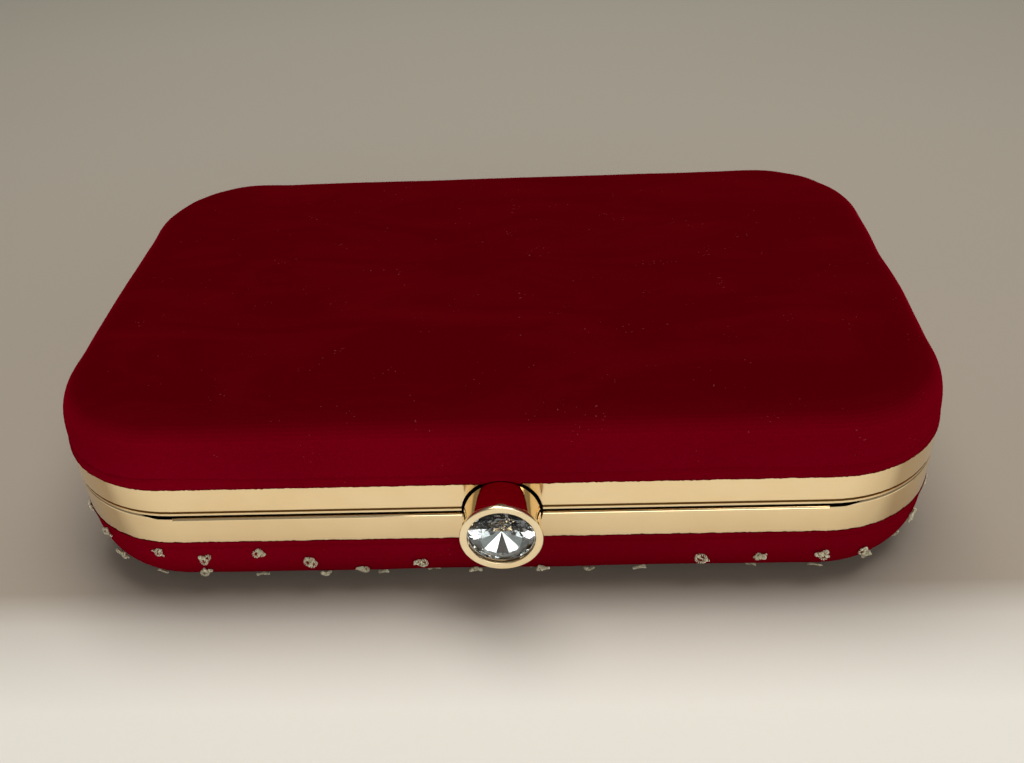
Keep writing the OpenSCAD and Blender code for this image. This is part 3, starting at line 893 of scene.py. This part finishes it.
def button_turned():
    """The barrel and the bezel as turned pieces with polished, rounded edges."""
    end = barrel_low.y - FRONT_Y
    tail = barrel_high.y - FRONT_Y
    bore, stem_r = BARREL_R - 1.1 * MM, 1.52 * MM
    web_back, web_front = -1.25 * MM, -2.75 * MM
    barrel = rounded([(end, BARREL_R), (tail, BARREL_R), (tail, bore), (web_back, bore),
                      (web_back, stem_r), (web_front, stem_r), (web_front, bore), (end, bore)],
                     0.15 * MM)
    finish_piece(lathe("barrel", barrel), "button", "gold_frame", "button_barrel",
                 material=POLISHED_GOLD)
    low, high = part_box("bezel_ring")
    outer = (high.x - low.x) / 2
    face, back = low.y - FRONT_Y, high.y - FRONT_Y
    hole = 6.8 * MM
    bezel = rounded([(face, outer - 0.1 * MM), (back, outer), (back, hole), (face + 0.1 * MM, hole)],
                    0.28 * MM, 6)
    finish_piece(lathe("bezel", bezel, 128), "button", "gold_frame", "bezel_ring",
                 material=PALE_GOLD)


def ring_points(radius, along, count, shift=0.0):
    """Points of a ring about the button's axis, turned by a share of one step."""
    return [(BUTTON_X + radius * math.cos(2 * math.pi * (k + shift) / count), FRONT_Y + along,
             SEAM + radius * math.sin(2 * math.pi * (k + shift) / count)) for k in range(count)]


def cut_stone():
    """The stone: a table, kite and girdle facets on the crown, and a pavilion of long facets."""
    low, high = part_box("crystal")
    front, culet = low.y - FRONT_Y, high.y - FRONT_Y
    radius = (high.x - low.x) / 2
    girdle = front + 1.2 * MM
    belted = girdle + 0.5 * MM
    sides = 24
    table = ring_points(radius * 0.60, front, sides // 2)
    star = ring_points(radius * 0.80, front + 0.55 * MM, sides // 2, 0.5)
    rim = ring_points(radius * 0.965, girdle, sides)
    belt = ring_points(radius, belted, sides)
    waist = ring_points(radius * 0.60, belted + (culet - belted) * 0.42, sides // 2, 0.5)
    tip = [(BUTTON_X, FRONT_Y + culet, SEAM)]
    verts = table + star + rim + belt + waist + tip
    t, s, r = 0, sides // 2, sides
    b, w, c = 2 * sides, 3 * sides, 3 * sides + sides // 2
    faces = [tuple(range(sides // 2))]
    for k in range(sides // 2):
        n = (k + 1) % (sides // 2)
        faces.append((t + k, s + k, t + n))
        faces.append((t + n, s + k, r + 2 * k + 2 if n else r, s + n))
        faces.append((s + k, r + 2 * k, r + 2 * k + 1))
        faces.append((s + k, r + 2 * k + 1, r + (2 * k + 2) % sides))
        faces.append((w + k, b + 2 * k + 1, b + 2 * k))
        faces.append((w + k, b + (2 * k + 2) % sides, b + 2 * k + 1))
        faces.append((c, w + n, b + (2 * k + 2) % sides, w + k))
    for k in range(sides):
        n = (k + 1) % sides
        faces.append((r + k, b + k, b + n, r + n))
    stone = new_object("stone", verts, faces, smooth=False)
    recalculate(stone)
    finish_piece(stone, "button", "crystal", "crystal")
    shift = Vector((0, 0.03 * MM, 0))
    cup = [Vector(v) + shift for v in verts[r:]]
    cup_faces = [tuple(i - r for i in face) for face in faces[1:] if min(face) >= r]
    foil = new_object("foil", cup, cup_faces, smooth=False)
    recalculate(foil)
    thicken(foil, 0.08 * MM, 1)
    apply_modifiers(foil)
    finish_piece(foil, "button", "mirror_foil", "crystal_foil")


button_turned()
cut_stone()


# ---------------------------------------------------------------- CAD nodes that stay

def dress_frame_nodes():
    """Every CAD node gets its slot's material, and every one still shown, save the spring, gets softened
    edges.
    """
    slots = {s["node"]: s["material_slot"] for s in frame["record"]["subparts"]}
    for name, obj in frame["nodes"].items():
        obj.data.materials.clear()
        obj.data.materials.append(MATERIALS[slots[name]])
        if obj.hide_render or name == "button_spring":
            continue
        bevel = obj.modifiers.new("edges", "BEVEL")
        bevel.width = 0.12 * MM
        bevel.segments = 2
        bevel.limit_method = "ANGLE"
        bevel.angle_limit = math.radians(40)
        bevel.harden_normals = True


def shorten_spring():
    """Gives the return spring, which shortens from its front end as the button is pressed, a mesh of its
    own; nothing here shortens it.
    """
    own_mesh(frame["nodes"]["button_spring"])


dress_frame_nodes()
shorten_spring()


# ---------------------------------------------------------------- stage, light and camera

def stage():
    """The paper floor, the studio's surround, its two lights and the cards for the stone."""
    low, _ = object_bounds()
    size = 3.0
    corners = ((-size, -size), (size, -size), (size, size), (-size, size))
    floor = new_object("floor", [(x, y, low[2]) for x, y in corners], [(0, 1, 2, 3)])
    floor.data.materials.append(paper_material())
    floor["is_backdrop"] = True
    studio_world()
    stone_card("window", (-1.1, -1.0, 0.22), (1.1, -0.9, 0.62), (1.0, 1.0, 0.98), 2.2)
    stone_card("photographer", (-0.16, -0.52, 0.16), (0.11, -0.48, 0.34), (0.55, 0.42, 0.38), 0.12)
    stone_card("paper_ahead", (-0.6, -1.2, low[2] + MM), (0.6, FRONT_Y - 12 * MM, low[2] + MM),
               (0.80, 0.86, 0.82), 0.42)
    area_light("softbox_above", (0.06, 0.09, 0.85), 0.9, 0.45, 6.7)
    area_light("softbox_front", (0.25, -1.0, 0.45), 0.9, 0.4, 3.0)


def stone_card(name, low, high, tone, strength):
    """A plain card that only the cut stone shows: part of the room that the photograph leaves out."""
    (x0, y0, z0), (x1, y1, z1) = low, high
    card = new_object(name, [(x0, y0, z0), (x1, y0, z0), (x1, y1, z1), (x0, y1, z1)], [(0, 1, 2, 3)])
    s = Shader(name)
    cloud = s.noise(6, detail=2)
    dim = tuple(c * 0.8 for c in tone)
    card.data.materials.append(s.finish(Base_Color=(0, 0, 0, 1), Specular_IOR_Level=0.0,
                                        Emission_Color=s.mix(cloud, tone, dim),
                                        Emission_Strength=strength))
    card.visible_camera = card.visible_diffuse = card.visible_glossy = card.visible_shadow = False
    card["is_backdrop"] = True


def studio_world():
    """A plain warm white surround, bright in front of the purse and dim behind it."""
    world = bpy.data.worlds.new("studio")
    bpy.context.scene.world = world
    world.use_nodes = True
    tree = world.node_tree
    coords = tree.nodes.new("ShaderNodeTexCoord")
    split = tree.nodes.new("ShaderNodeSeparateXYZ")
    fade = tree.nodes.new("ShaderNodeMapRange")
    fade.inputs["From Min"].default_value = -0.7
    fade.inputs["From Max"].default_value = 0.5
    fade.inputs["To Min"].default_value = 0.24
    fade.inputs["To Max"].default_value = 0.10
    tree.links.new(coords.outputs["Generated"], split.inputs["Vector"])
    tree.links.new(split.outputs["Y"], fade.inputs["Value"])
    background = tree.nodes["Background"]
    background.inputs["Color"].default_value = (1.0, 0.97, 0.93, 1)
    tree.links.new(fade.outputs["Result"], background.inputs["Strength"])


def area_light(name, place, width, height, power):
    """A warm white softbox that faces the middle of the seam."""
    light = bpy.data.lights.new(name, "AREA")
    light.shape = "RECTANGLE"
    light.size, light.size_y = width, height
    light.energy = power
    light.color = (1.0, 0.96, 0.91)
    obj = bpy.data.objects.new(name, light)
    obj.location = place
    aim = Vector((0, MID_Y, SEAM)) - Vector(place)
    obj.rotation_euler = aim.to_track_quat("-Z", "Y").to_euler()
    bpy.context.scene.collection.objects.link(obj)


def camera():
    """The photograph's view."""
    place = CAMERA_PLACE * 2 * HALF_W + Vector((0, MID_Y, SEAM))
    yaw, pitch, roll = CAMERA_YAW, CAMERA_PITCH, CAMERA_ROLL
    data = bpy.data.cameras.new("camera")
    data.sensor_width = 36
    data.lens = CAMERA_LENS
    data.clip_start = 0.01
    obj = bpy.data.objects.new("camera", data)
    ahead = Vector((math.sin(yaw) * math.cos(pitch), math.cos(yaw) * math.cos(pitch), -math.sin(pitch)))
    right = Vector((math.cos(yaw), -math.sin(yaw), 0))
    up = right.cross(ahead)
    across = right * math.cos(roll) + up * math.sin(roll)
    above = up * math.cos(roll) - right * math.sin(roll)
    turn = Matrix((across, above, -ahead)).transposed().to_4x4()
    obj.matrix_world = Matrix.Translation(place) @ turn
    bpy.context.scene.collection.objects.link(obj)
    bpy.context.scene.camera = obj


stage()
camera()
bpy.context.scene.view_settings.view_transform = "Standard"
